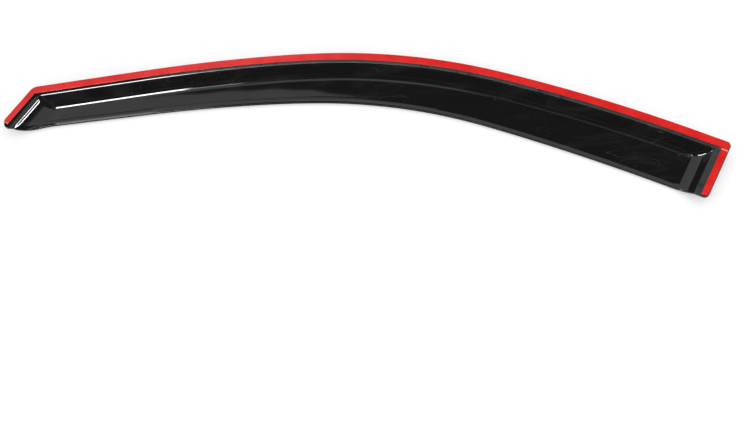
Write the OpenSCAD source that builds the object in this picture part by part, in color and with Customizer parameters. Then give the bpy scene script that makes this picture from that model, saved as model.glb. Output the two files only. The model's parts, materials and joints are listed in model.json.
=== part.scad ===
// Front-door window rain deflector, lying on its outer face with the taped flange up.
// A shallow moulded tray of black acrylic with a flat flange on three sides and an open
// lower side, and one strip of foam tape with its release liner on each side of the flange.
// X runs along the deflector from front to rear, Y up across it, Z out of the tray.

/* [Top edge] */
// Rise of the straight front run above the length axis, in degrees
front_rise = 5.3; // [3:0.1:8]
// Straight run at the front
front_run = 163; // [140:1:190]
// Length of the gentle bend behind the front run
brow_run = 180; // [140:1:220]
// Radius of the gentle bend
brow_radius = 2500; // [2000:10:3500]
// Length of the lead into the crown
lead_run = 80; // [60:1:110]
// Radius of the lead into the crown
lead_radius = 1450; // [1200:10:2000]
// Length of the crown, the tightest bend
crown_run = 260; // [220:1:300]
// Radius of the crown
crown_radius = 860; // [750:5:1100]
// Length of the long tail bend
tail_run = 280; // [240:1:320]
// Radius of the tail bend
tail_radius = 2350; // [2000:10:3500]
// Straight run at the rear
rear_run = 44; // [36:1:70]

/* [Ends and width] */
// Width of the deflector at the front corner
front_width = 58.8; // [56:0.1:64]
// Width of the deflector at the rear
rear_width = 82.3; // [78:0.1:88]
// Distance over which the width grows
taper_run = 845; // [800:5:900]
// Lean of the front end from square, in degrees
front_lean = 42.3; // [36:0.1:46]
// Lean of the rear end from square, in degrees
rear_lean = 1; // [0:0.1:3]
// Extra length of the rear flange below the open side
foot_drop = 3.4; // [2:0.1:6]
// Extra length of the front flange below the open side
tip_drop = 5.1; // [3:0.1:7]
// How far the foot of the front flange is cut back at the tip
tip_cut = 4.8; // [2:0.1:6]
// Distance along the front flange over which its foot is cut back
tip_from = 28; // [24:0.5:30]
// Distance from the front corner within which the open side widens to that foot
tip_run = 80; // [70:1:95]
// Corner radius at the top of the front end
front_corner = 16; // [12:0.5:18]
// Corner radius at the front tip
tip_corner = 8; // [6.5:0.5:9]
// Corner radius at both rear corners
rear_corner = 6.5; // [5:0.5:8]

/* [Section] */
// Thickness of the acrylic
sheet = 2.5; // [2:0.1:3]
// Step from the flange down to the main face
depth = 16; // [14:0.5:18]
// Bare flange inside the top strip of tape
top_spare = 4.8; // [4.5:0.1:7]
// Bare flange inside the front strip of tape
front_spare = 9.1; // [8:0.1:11]
// Bare flange inside the rear strip of tape
rear_spare = 8.1; // [7:0.1:10]
// Plan width of the sloping wall along the top
wall_run = 13; // [11:0.5:15]
// Slope of the wall at the front end, in degrees
front_slope = 56; // [52:0.5:58]
// Slope of the wall at the rear end, in degrees
rear_slope = 42; // [38:0.5:44]
// Bend radius where the flange turns into the wall
ridge_round = 4.2; // [3.4:0.1:4.7]
// Bend radius where the top wall meets the main face
valley_round = 9; // [6:0.5:11]
// Bend radius where the front wall meets the main face
front_valley = 30; // [20:1:32]
// Bend radius where the rear wall meets the main face
rear_valley = 40; // [30:1:44]
// Softening of the tray's inside corners
corner_blend = 3.5; // [2:0.5:8]
// Width of the turned lower lip
lip_w = 8; // [6:0.5:9]
// Height of the turned lower lip
lip_h = 2.5; // [2:0.1:3]
// Drop of the rear flange below the top flange
joggle_drop = 1.2; // [0.8:0.1:1.5]
// Level flange between the top strip and that drop
joggle_gap = 0.5; // [0.4:0.1:0.7]
// Plan width of the drop
joggle_run = 2; // [1.5:0.1:2.2]

/* [Tape] */
// Width of the foam tape along the top edge
tape_w = 10.8; // [8:0.1:12]
// Width of the foam tape on the two ends
end_tape_w = 9; // [8:0.1:10]
// Bare margin between the tape and the outer edge
tape_inset = 0.9; // [0.5:0.1:1.5]
// Thickness of the foam
foam_t = 1; // [0.8:0.1:1.5]
// Thickness of the release liner
liner_t = 0.15; // [0.1:0.01:0.25]
// Gap at the joints between two strips
tape_gap = 0.3; // [0.2:0.1:0.4]
// Bare length of flange below the end strips
tape_end = 2.8; // [2.5:0.1:4]

/* [Hidden] */

acrylic_colour = "#17181a";
foam_colour = "#3a3a3c";
liner_colour = "#e0302e";

// Degrees in a radian
rad = 180 / PI;
// Longest step between the stations along the body
station_step = 21;
// Number of chords in a rounded outline corner
corner_steps = 5;
// Number of chords in each bend of the section
bend_steps = 3;
// Number of steps down the straight wall
slope_steps = 3;
// Number of steps across the turned lip
lip_steps = 4;
// Longest chord along the tape strips
tape_step = 16;

// Height of the inside of the flange and of the main face
flange_z = sheet + depth;
face_z = sheet;
tape_z = flange_z + foam_t;

// Inner edge of the strips and widths of the flange, measured in from the outer edge
tape_far = tape_inset + tape_w;
end_far = tape_inset + end_tape_w;
flange_w = tape_far + top_spare;
front_flange_w = end_far + front_spare;
rear_flange_w = end_far + rear_spare;
joggle_at = tape_far + joggle_gap;

// Top edge as a chain of tangent runs: length and bend of each
runs = [
    [front_run, 0],
    [brow_run, 1 / brow_radius],
    [lead_run, 1 / lead_radius],
    [crown_run, 1 / crown_radius],
    [tail_run, 1 / tail_radius],
    [rear_run, 0]
];
edge_len = front_run + brow_run + lead_run + crown_run + tail_run + rear_run;

// Place and heading [x, y, angle] after a run of length s and bend c
function moved(p, s, c) =
    let (turned = p[2] - s * c * rad)
    c == 0
        ? [p[0] + s * cos(p[2]), p[1] + s * sin(p[2]), p[2]]
        : [p[0] + (sin(p[2]) - sin(turned)) / c, p[1] + (cos(turned) - cos(p[2])) / c, turned];

// Place and heading on the top edge at the distance s from the front corner
function edge_at(s, i = 0, p = [0, 0, front_rise]) =
    i == len(runs) - 1 || s <= runs[i][0]
        ? moved(p, s, runs[i][1])
        : edge_at(s - runs[i][0], i + 1, moved(p, runs[i][0], runs[i][1]));

function clamp01(x) = min(max(x, 0), 1);
function ease(x) = let (u = clamp01(x)) u * u * (3 - 2 * u);
// Smaller of two values, with the crossing rounded over the distance k
function soft_min(a, b, k) = min(a, b) - pow(max(k - abs(a - b), 0), 2) / (4 * k);

// Section of a wall: its slope, and the bend at its foot, held to what the depth has room for
function wall(angle, valley) = [angle, min(valley, depth / (1 - cos(angle)) - ridge_round)];
top_wall = wall(atan2(depth, wall_run), valley_round);
front_wall = wall(front_slope, front_valley);
rear_wall = wall(rear_slope, rear_valley);

// How far a wall's upper bend reaches out over the flange, and how far in its foot lies
function reach(w) = ridge_round * tan(w[0] / 2);
function foot(w) = depth / tan(w[0]) + w[1] * tan(w[0] / 2);

// Height of the inside surface at the distance d inside the flange line
function wall_z(d, w) =
    d <= -reach(w) ? flange_z
    : d < -reach(w) + ridge_round * sin(w[0])
        ? flange_z - ridge_round + sqrt(pow(ridge_round, 2) - pow(d + reach(w), 2))
    : d < foot(w) - w[1] * sin(w[0]) ? flange_z - d * tan(w[0])
    : d < foot(w) ? face_z + w[1] - sqrt(pow(w[1], 2) - pow(foot(w) - d, 2))
    : face_z;

// Distance at which the wall w is as high as the wall v is at the distance d
function matched(d, v, w) =
    let (z = wall_z(d, v))
    d <= -reach(v) ? d + reach(v) - reach(w)
    : d >= foot(v) ? d - foot(v) + foot(w)
    : z > flange_z - ridge_round * (1 - cos(w[0]))
        ? -reach(w) + sqrt(pow(ridge_round, 2) - pow(z - flange_z + ridge_round, 2))
    : z > face_z + w[1] * (1 - cos(w[0])) ? (flange_z - z) / tan(w[0])
    : foot(w) - sqrt(pow(w[1], 2) - pow(face_z + w[1] - z, 2));

// Distances inside the flange line at which the top wall is drawn
wall_steps = let (
    top = -reach(top_wall) + ridge_round * sin(top_wall[0]),
    low = foot(top_wall) - top_wall[1] * sin(top_wall[0])
) concat(
    [for (k = [0:bend_steps]) -reach(top_wall) + ridge_round * sin(top_wall[0] * k / bend_steps)],
    [for (k = [1:slope_steps - 1]) top + (low - top) * k / slope_steps],
    [for (k = [0:bend_steps]) foot(top_wall) - top_wall[1] * sin(top_wall[0] * (1 - k / bend_steps))]
);

// Stretch of the top edge over which the stations turn from the front lean to square
front_zone = (front_flange_w + foot(front_wall)) / cos(front_lean);
rear_zone = (rear_flange_w + foot(rear_wall)) / cos(rear_lean);

// Sideways step of a station for each millimetre down from the top edge
function lean_at(s) =
    -tan(front_lean) * (1 - ease((s - front_zone) / (front_run - front_zone)))
    - tan(rear_lean) * ease((s - edge_len + rear_zone + rear_run) / rear_run);

// Distance of a station inside the flange line of the rear end
function from_rear_at(s) = (edge_len - s) * cos(rear_lean) - rear_flange_w;
// Share of the depth that a wall has left at the distance d inside its flange line
function raised(d, w) = (wall_z(d, w) - face_z) / depth;

// Width at a station, measured square to the top edge
widen = (rear_width - front_width) / taper_run;
// Rounding of the crossing between the growing width and the full one
width_blend = 3;
function width_at(s) =
    soft_min((front_width + widen * s) / (1 - widen * lean_at(s)), rear_width, width_blend)
    + foot_drop * raised(from_rear_at(s), rear_wall)
    + tip_drop * ease((tip_run - s) / (tip_run - tip_from))
    - tip_cut * clamp01(1 - s / tip_from);

// Reach of a corner arc along the edge, for a station that leans by m
function arc_reach(r, m) = r * (1 + sin(atan(m))) / cos(atan(m));
// Distance from the edge to that arc at the distance x from the corner
function arc_cut(x, r, m) =
    let (reach = arc_reach(r, m), b = m * (x - reach) - r, a = 1 + m * m)
    x >= reach ? 0 : (-b - sqrt(max(b * b - a * pow(x - reach, 2), 0))) / a;

// Lean of the first and last stations at the top corners, and what the corner arcs cut away there
front_m = -tan(front_lean);
rear_m = tan(rear_lean);
function top_cut(s) =
    arc_cut(s, front_corner, front_m) + arc_cut(edge_len - s, rear_corner, rear_m);
function low_cut(s) =
    arc_cut(s, tip_corner, -front_m) + arc_cut(edge_len - s, rear_corner, -rear_m);

// Point in plan at the distance down from the top edge along station s
function plan(s, down) =
    let (p = edge_at(s), m = lean_at(s))
    [p[0] + down * (sin(p[2]) + m * cos(p[2])), p[1] + down * (m * sin(p[2]) - cos(p[2]))];

// Stations: rounded front corners, front wall, body, rear wall, rounded rear corners
tip_reach = arc_reach(tip_corner, -front_m);
rear_reach = arc_reach(rear_corner, rear_m);
body_from = front_zone;
body_to = edge_len - rear_zone;
body_count = ceil((body_to - body_from) / station_step);
stations = concat(
    [for (k = [0:corner_steps]) tip_reach * (1 - cos(90 * k / corner_steps))],
    [for (d = wall_steps) (front_flange_w + matched(d, top_wall, front_wall)) / cos(front_lean)],
    [for (k = [1:body_count - 1]) body_from + (body_to - body_from) * k / body_count],
    [for (k = [len(wall_steps) - 1:-1:0])
        edge_len - (rear_flange_w + matched(wall_steps[k], top_wall, rear_wall)) / cos(rear_lean)],
    [for (k = [corner_steps:-1:0]) edge_len - rear_reach * (1 - cos(90 * k / corner_steps))]
);

// Distances down from the top edge at which station s is drawn
function rungs(s) =
    let (top = top_cut(s), low = width_at(s) - low_cut(s), lip_from = low - lip_w)
    concat(
        [top, (top + joggle_at) / 2, joggle_at, joggle_at + joggle_run],
        [for (d = wall_steps) flange_w + d],
        [(flange_w + foot(top_wall) + lip_from) / 2],
        [for (k = [0:lip_steps]) lip_from + lip_w * k / lip_steps]
    );

// Height of the inside surface at a station and a distance down from the top edge
function inside_z(s, down) =
    let (
        along = s + down * lean_at(s),
        from_front = along * cos(front_lean) + down * sin(front_lean) - front_flange_w,
        like_front = matched(from_front, front_wall, top_wall),
        like_rear = matched(from_rear_at(s), rear_wall, top_wall),
        from_top = down - flange_w,
        d = soft_min(from_top, min(like_front, like_rear), corner_blend),
        share = raised(d, top_wall),
        at_rear = ease((from_top - like_rear) / corner_blend + 1 / 2),
        drop = joggle_drop * at_rear * clamp01((down - joggle_at) / joggle_run),
        to_edge = width_at(s) - low_cut(s) - down,
        curl = pow(clamp01(1 - to_edge / lip_w), 2)
    )
    face_z + share * (depth - drop) + lip_h * curl * (1 - share);

inside = [for (s = stations) [for (d = rungs(s)) let (p = plan(s, d)) [p[0], p[1], inside_z(s, d)]]];
n_s = len(inside);
n_d = len(inside[0]);

// Direction square to the inside surface at one point of the grid
function square_to(i, j) =
    let (
        along = inside[min(i + 1, n_s - 1)][j] - inside[max(i - 1, 0)][j],
        across = inside[i][max(j - 1, 0)] - inside[i][min(j + 1, n_d - 1)],
        n = cross(along, across)
    )
    n / norm(n);
outside = [for (i = [0:n_s - 1]) [for (j = [0:n_d - 1]) inside[i][j] - sheet * square_to(i, j)]];

// Middle of the plan box, which goes to the origin
plan_x = [for (row = [each inside, each outside]) each [for (p = row) p[0]]];
plan_y = [for (row = [each inside, each outside]) each [for (p = row) p[1]]];
middle = [(min(plan_x) + max(plan_x)) / 2, (min(plan_y) + max(plan_y)) / 2, 0];

// Two triangles of one cell of the grid, with the diagonal along the tray's corner
function cell(a, b, c, d, rising) = rising ? [[a, b, c], [a, c, d]] : [[a, b, d], [b, c, d]];

// Closed skin over the two grids and the rim between them
module shell_between(upper, lower) {
    n = len(upper);
    m = len(upper[0]);
    size = n * m;
    half = n / 2;
    points = [for (g = [upper, lower]) each [for (row = g) each row]];
    faces = concat(
        [for (i = [0:n - 2]) for (j = [0:m - 2])
            each cell(i * m + j, (i + 1) * m + j, (i + 1) * m + j + 1, i * m + j + 1, i < half)],
        [for (i = [0:n - 2]) for (j = [0:m - 2])
            each [for (t = cell(i * m + j, (i + 1) * m + j, (i + 1) * m + j + 1, i * m + j + 1, i < half))
                [t[2] + size, t[1] + size, t[0] + size]]],
        [for (i = [0:n - 2])
            each [[i * m, i * m + size, (i + 1) * m + size], [i * m, (i + 1) * m + size, (i + 1) * m]]],
        [for (i = [0:n - 2]) let (a = i * m + m - 1, b = (i + 1) * m + m - 1)
            each [[b, b + size, a + size], [b, a + size, a]]],
        [for (j = [0:m - 2])
            each [[j + 1, j + 1 + size, j + size], [j + 1, j + size, j]]],
        [for (j = [0:m - 2]) let (a = (n - 1) * m + j, b = (n - 1) * m + j + 1)
            each [[a, a + size, b + size], [a, b + size, b]]]
    );
    polyhedron(points = points, faces = faces, convexity = 8);
}

module visor() {
    color(acrylic_colour) translate(-middle) shell_between(inside, outside);
}

// Joint of the top and front strips at a distance down from the top edge and in from the front
// edge: how far along the top edge it lies, and how far down the front edge
function joint(down, inset) =
    let (run = (down - inset * sin(front_lean)) / cos(front_lean))
    [inset * cos(front_lean) - run * sin(front_lean), run];
// Half of the outline's turn at that corner, and the arc of the strips' outer side about its middle
corner_turn = (90 - front_lean) / 2;
joint_gap = tape_gap / 2 / cos(corner_turn);
joint_inner = joint(tape_far, end_far) + [joint_gap, joint_gap];
corner_at = joint(front_corner, front_corner);
corner_r = front_corner - tape_inset;
corner_from = corner_turn - asin(tape_gap / 2 / corner_r);
corner_arc = [for (k = [0:corner_steps]) let (a = corner_from * (1 - k / corner_steps))
    [corner_r * sin(a), front_corner - corner_r * cos(a)]];

// Point at the distance s along and down from the top edge, square to it
function square_plan(s, down) =
    let (p = edge_at(s)) [p[0] + down * sin(p[2]), p[1] - down * cos(p[2])];

// Quarter of a circle about a centre, from one direction to the one square to it
function quarter(centre, r, from, to) =
    [for (k = [0:corner_steps]) let (a = 90 * k / corner_steps) centre + r * (cos(a) * from + sin(a) * to)];

// Top strip: along the edge, mitred and rounded in front and rounded at the outer rear corner
module top_strip_plan() {
    round_r = rear_corner - tape_inset;
    end = edge_len - tape_inset;
    start = joint_inner[0];
    upper_start = corner_at[0];
    count = ceil((end - start) / tape_step);
    turn = edge_at(end)[2];
    along = [cos(turn), sin(turn)];
    outward = [-sin(turn), cos(turn)];
    mitre = [for (p = corner_arc) square_plan(upper_start - p[0], p[1])];
    upper = [for (k = [1:count])
        square_plan(upper_start + (end - round_r - upper_start) * k / count, tape_inset)];
    corner = quarter(square_plan(end - round_r, tape_inset + round_r), round_r, outward, along);
    lower = [for (k = [count:-1:0]) square_plan(start + (end - start) * k / count, tape_far)];
    polygon(concat(
        mitre,
        upper,
        [for (k = [1:corner_steps]) corner[k]],
        lower
    ));
}

// Front strip: down the leaning end, mitred against the top strip, with one rounded foot
module front_strip_plan() {
    along = [-sin(front_lean), -cos(front_lean)];
    inward = [cos(front_lean), -sin(front_lean)];
    // Length of the front edge down to the tip, and of its straight part above the rounding
    slanted = (front_width + tip_drop - tip_cut) / cos(front_lean);
    straight = slanted - tip_corner * tan((90 + front_lean) / 2);
    round_r = tip_corner - tape_inset - tape_end;
    end = straight + round_r;
    rotate(front_rise) polygon(concat(
        [end_far * inward + joint_inner[1] * along],
        [end_far * inward + end * along],
        quarter((tape_inset + round_r) * inward + straight * along, round_r, along, -inward),
        [for (k = [corner_steps:-1:0]) corner_arc[k][1] * inward + (corner_at[1] - corner_arc[k][0]) * along]
    ));
}

// Rear strip, square to the rear edge: level, over the drop and level again
rear_from = tape_far + tape_gap;
rear_to = rear_width + foot_drop - tape_end;
module rear_strip_side(low, high) {
    polygon([
        [rear_from, low], [joggle_at, low],
        [joggle_at + joggle_run, low - joggle_drop], [rear_to, low - joggle_drop],
        [rear_to, high - joggle_drop], [joggle_at + joggle_run, high - joggle_drop],
        [joggle_at, high], [rear_from, high]
    ]);
}

// Outline of the rear strip, with its lower outer corner rounded
module rear_strip_plan() {
    round_r = rear_corner - tape_inset - tape_end;
    polygon(concat(
        [[-tape_inset, -rear_from], [-end_far, -rear_from], [-end_far, -rear_to]],
        quarter([-tape_inset - round_r, round_r - rear_to], round_r, [0, -1], [1, 0])
    ));
}

// Rear strip between two heights, with X along the top edge at the rear end
module rear_strip(low, high) {
    end = edge_at(edge_len);
    translate([end[0], end[1], 0]) rotate(end[2] - rear_lean)
        intersection() {
            rotate([90, 0, -90]) linear_extrude(end_far) rear_strip_side(low, high);
            linear_extrude(high + liner_t) rear_strip_plan();
        }
}

module top_tape_foam() {
    color(foam_colour) translate(-middle) translate([0, 0, flange_z])
        linear_extrude(foam_t) top_strip_plan();
}

module top_tape_liner() {
    color(liner_colour) translate(-middle) translate([0, 0, tape_z])
        linear_extrude(liner_t) top_strip_plan();
}

module front_tape_foam() {
    color(foam_colour) translate(-middle) translate([0, 0, flange_z])
        linear_extrude(foam_t) front_strip_plan();
}

module front_tape_liner() {
    color(liner_colour) translate(-middle) translate([0, 0, tape_z])
        linear_extrude(liner_t) front_strip_plan();
}

module rear_tape_foam() {
    color(foam_colour) translate(-middle) rear_strip(flange_z, tape_z);
}

module rear_tape_liner() {
    color(liner_colour) translate(-middle) rear_strip(tape_z, tape_z + liner_t);
}

visor();
top_tape_foam();
top_tape_liner();
front_tape_foam();
front_tape_liner();
rear_tape_foam();
rear_tape_liner();
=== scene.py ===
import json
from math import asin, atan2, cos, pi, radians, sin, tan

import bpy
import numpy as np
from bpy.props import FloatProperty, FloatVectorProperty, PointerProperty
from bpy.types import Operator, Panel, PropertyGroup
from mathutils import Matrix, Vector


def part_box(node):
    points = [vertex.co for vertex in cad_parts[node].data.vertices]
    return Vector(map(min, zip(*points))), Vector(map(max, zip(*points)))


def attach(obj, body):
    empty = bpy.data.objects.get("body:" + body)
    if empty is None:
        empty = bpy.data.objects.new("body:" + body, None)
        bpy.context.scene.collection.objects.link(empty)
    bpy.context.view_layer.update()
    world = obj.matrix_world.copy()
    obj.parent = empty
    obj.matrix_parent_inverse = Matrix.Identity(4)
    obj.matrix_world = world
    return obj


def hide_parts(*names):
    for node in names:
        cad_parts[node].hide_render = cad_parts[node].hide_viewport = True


bl_info = {
    "name": "Window Rain Deflector",
    "version": (1, 0, 0),
    "blender": (4, 5, 0),
    "location": "View3D > Sidebar > Deflector",
    "description": "Moulded acrylic rain deflector for a front door window, with its taped flange up",
    "category": "Add Mesh",
}

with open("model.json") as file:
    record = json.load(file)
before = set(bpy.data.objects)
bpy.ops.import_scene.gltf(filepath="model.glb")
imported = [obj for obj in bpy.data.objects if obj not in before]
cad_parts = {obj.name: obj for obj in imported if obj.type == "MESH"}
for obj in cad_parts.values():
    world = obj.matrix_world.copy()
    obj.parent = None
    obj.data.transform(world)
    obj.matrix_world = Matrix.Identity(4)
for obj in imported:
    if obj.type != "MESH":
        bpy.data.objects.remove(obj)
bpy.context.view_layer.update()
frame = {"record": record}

MM = 0.001
# The record's material slots and their colours
ACRYLIC_SLOT = "black_acrylic"
FOAM_SLOT = "foam_tape"
LINER_SLOT = "red_liner"
COLOURS = {m["slot"]: tuple(m["base_color"]) for m in frame["record"]["materials"]}


def length(name, text, default_mm):
    """A size property in metres, given in millimetres."""
    return FloatProperty(name=name, description=text, default=default_mm * MM, unit="LENGTH", precision=4)


def angle(name, text, degrees):
    """An angle property, given in degrees."""
    return FloatProperty(name=name, description=text, default=radians(degrees), subtype="ANGLE")


class DeflectorEdge(PropertyGroup):
    """The top edge, a chain of tangent arcs from the front corner to the rear."""
    front_rise: angle("Front Rise", "Rise of the straight front run above the length axis", 5.3)
    front_run: length("Front Run", "Straight run at the front", 163)
    brow_run: length("Brow Run", "Length of the gentle bend behind the front run", 180)
    brow_radius: length("Brow Radius", "Radius of the gentle bend", 2500)
    lead_run: length("Lead Run", "Length of the lead into the crown", 80)
    lead_radius: length("Lead Radius", "Radius of the lead into the crown", 1450)
    crown_run: length("Crown Run", "Length of the crown, the tightest bend", 260)
    crown_radius: length("Crown Radius", "Radius of the crown", 860)
    tail_run: length("Tail Run", "Length of the long tail bend", 280)
    tail_radius: length("Tail Radius", "Radius of the tail bend", 2350)
    rear_run: length("Rear Run", "Straight run at the rear", 44)


class DeflectorEnds(PropertyGroup):
    """Widths, leans and outline corners."""
    front_width: length("Front Width", "Width at the front corner", 58.8)
    rear_width: length("Rear Width", "Width at the rear", 82.3)
    taper_run: length("Taper Run", "Distance over which the width grows", 845)
    front_lean: angle("Front Lean", "Lean of the front end from square", 42.3)
    rear_lean: angle("Rear Lean", "Lean of the rear end from square", 1)
    foot_drop: length("Foot Drop", "Extra length of the rear flange below the open side", 3.4)
    tip_drop: length("Tip Drop", "Extra length of the front flange below the open side", 5.1)
    tip_cut: length("Tip Cut", "How far the foot of the front flange is cut back", 4.8)
    tip_from: length("Tip From", "Distance along the front flange over which its foot is cut back", 28)
    tip_run: length("Tip Run", "Distance from the front corner within which the open side widens to it", 80)
    front_corner: length("Front Corner", "Corner radius at the top of the front end", 16)
    tip_corner: length("Tip Corner", "Corner radius at the front tip", 8)
    rear_corner: length("Rear Corner", "Corner radius at both rear corners", 6.5)


class DeflectorSection(PropertyGroup):
    """The moulded section: flange, wall, main face and turned lip."""
    sheet: length("Sheet", "Thickness of the acrylic", 2.5)
    depth: length("Depth", "Step from the flange down to the main face", 16)
    top_spare: length("Top Spare", "Bare flange inside the top strip", 4.8)
    front_spare: length("Front Spare", "Bare flange inside the front strip", 9.1)
    rear_spare: length("Rear Spare", "Bare flange inside the rear strip", 8.1)
    wall_run: length("Wall Run", "Plan width of the sloping wall along the top", 13)
    front_slope: angle("Front Slope", "Slope of the wall at the front end", 56)
    rear_slope: angle("Rear Slope", "Slope of the wall at the rear end", 42)
    ridge_round: length("Ridge Round", "Bend radius where the flange turns into the wall", 4.2)
    valley_round: length("Valley Round", "Bend radius where the top wall meets the face", 9)
    front_valley: length("Front Valley", "Bend radius where the front wall meets the face", 30)
    rear_valley: length("Rear Valley", "Bend radius where the rear wall meets the face", 40)
    corner_blend: length("Corner Blend", "Softening of the tray's inside corners", 3.5)
    lip_w: length("Lip Width", "Width of the turned lower lip", 8)
    lip_h: length("Lip Height", "Height of the turned lower lip", 2.5)
    joggle_drop: length("Joggle Drop", "Drop of the rear flange below the top flange", 1.2)
    joggle_gap: length("Joggle Gap", "Level flange between the top strip and the drop", 0.5)
    joggle_run: length("Joggle Run", "Plan width of the drop", 2)
    edge_round: length("Edge Round", "Rounding of the cut edges of the sheet", 0.55)


class DeflectorTape(PropertyGroup):
    """Foam tape and its release liner."""
    tape_w: length("Tape Width", "Width of the foam tape along the top edge", 10.8)
    end_tape_w: length("End Tape Width", "Width of the foam tape on the two ends", 9)
    tape_inset: length("Tape Inset", "Bare margin outside the tape", 0.9)
    foam_t: length("Foam Thickness", "Thickness of the foam", 1)
    liner_t: length("Liner Thickness", "Thickness of the release liner", 0.15)
    tape_gap: length("Tape Gap", "Gap at the joints between two strips", 0.3)
    tape_end: length("Tape End", "Bare flange below the end strips", 2.8)
    ripple: length("Ripple", "Height of the slow waves in the liner's edge", 0.12)


class DeflectorStage(PropertyGroup):
    """Camera, floor and light."""
    aim: FloatVectorProperty(
        name="Aim", description="Point on the ground that the camera looks at",
        default=(0.031554, -0.126595, 0.0), subtype="TRANSLATION", unit="LENGTH")
    view_distance: length("View Distance", "Distance from the camera to that point", 1687.5)
    view_tilt: angle("View Tilt", "Tilt of the view from straight down", 21.828)
    view_side: angle("View Side", "Turn of the view to the right-hand side", 7.544)
    lens: FloatProperty(name="Lens", description="Focal length in millimetres", default=60.0)
    floor_colour: FloatVectorProperty(
        name="Floor Colour", description="Colour of the floor", default=(0.66, 0.66, 0.66),
        subtype="COLOR", min=0.0, max=1.0)
    world_light: FloatProperty(name="World Light", description="Strength of the even light", default=0.9)
    key_light: FloatProperty(
        name="Key Light", description="Power of the soft key light", default=9.0, unit="POWER")


# Shape of the shell

# Rounding of the crossing between the growing width and the full one
WIDTH_BLEND = 3 * MM


def clamp01(x):
    """The value, held between 0 and 1."""
    return np.clip(x, 0.0, 1.0)


def ease(x):
    """Smooth step: 3u squared less 2u cubed, of the value held between 0 and 1."""
    u = clamp01(x)
    return u * u * (3 - 2 * u)


def soft_min(a, b, k):
    """Smaller of two values, less (k - |a - b|) squared over 4k near the crossing."""
    return np.minimum(a, b) - np.maximum(k - np.abs(a - b), 0) ** 2 / (4 * k)


def edge_at(e, s):
    """Place and heading on the top edge at the distance s from the front corner.

    Each run turns the heading by its length over its radius, and moves the place by the
    radius times the change of the heading's sine and cosine, or straight on where there
    is no bend.
    """
    bends = (
        (e.front_run, 0.0), (e.brow_run, 1 / e.brow_radius), (e.lead_run, 1 / e.lead_radius),
        (e.crown_run, 1 / e.crown_radius), (e.tail_run, 1 / e.tail_radius), (np.inf, 0.0),
    )
    left = np.array(s, dtype=float)
    x = np.zeros_like(left)
    y = np.zeros_like(left)
    heading = np.full_like(left, e.front_rise)
    for number, (run, bend) in enumerate(bends):
        step = np.minimum(left, run) if number == 0 else np.clip(left, 0, run)
        turned = heading - step * bend
        if bend:
            x += (np.sin(heading) - np.sin(turned)) / bend
            y += (np.cos(turned) - np.cos(heading)) / bend
        else:
            x += step * np.cos(heading)
            y += step * np.sin(heading)
        heading = turned
        left = left - step
    return x, y, heading


class Wall:
    """Section of one wall: a convex bend at the flange, a straight slope and a concave bend at its foot."""

    def __init__(self, section, slope, valley):
        self.low, self.high = section.sheet, section.sheet + section.depth
        self.slope, self.ridge = slope, section.ridge_round
        self.valley = min(valley, section.depth / (1 - cos(slope)) - self.ridge)
        self.reach = self.ridge * tan(slope / 2)
        self.foot = section.depth / tan(slope) + self.valley * tan(slope / 2)

    def height(self, d):
        """Height at the distance d inside the flange line: level, arc, straight slope, arc, level."""
        ridge, valley = self.ridge, self.valley
        over = self.high - ridge + np.sqrt(np.maximum(ridge ** 2 - (d + self.reach) ** 2, 0))
        under = self.low + valley - np.sqrt(np.maximum(valley ** 2 - (self.foot - d) ** 2, 0))
        return np.select(
            [d <= -self.reach, d < -self.reach + ridge * sin(self.slope),
             d < self.foot - valley * sin(self.slope), d < self.foot],
            [self.high, over, self.high - d * tan(self.slope), under], self.low)

    def matched(self, d, other):
        """Distance at which the other wall is as high as this one is at the distance d."""
        z = self.height(d)
        ridge, valley, drop = other.ridge, other.valley, 1 - cos(other.slope)
        over = np.sqrt(np.maximum(ridge ** 2 - (z - other.high + ridge) ** 2, 0)) - other.reach
        under = other.foot - np.sqrt(np.maximum(valley ** 2 - (other.low + valley - z) ** 2, 0))
        straight = (other.high - z) / tan(other.slope)
        return np.select(
            [d <= -self.reach, d >= self.foot, z > other.high - ridge * drop, z > other.low + valley * drop],
            [d + self.reach - other.reach, d - self.foot + other.foot, over, straight], under)


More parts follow.
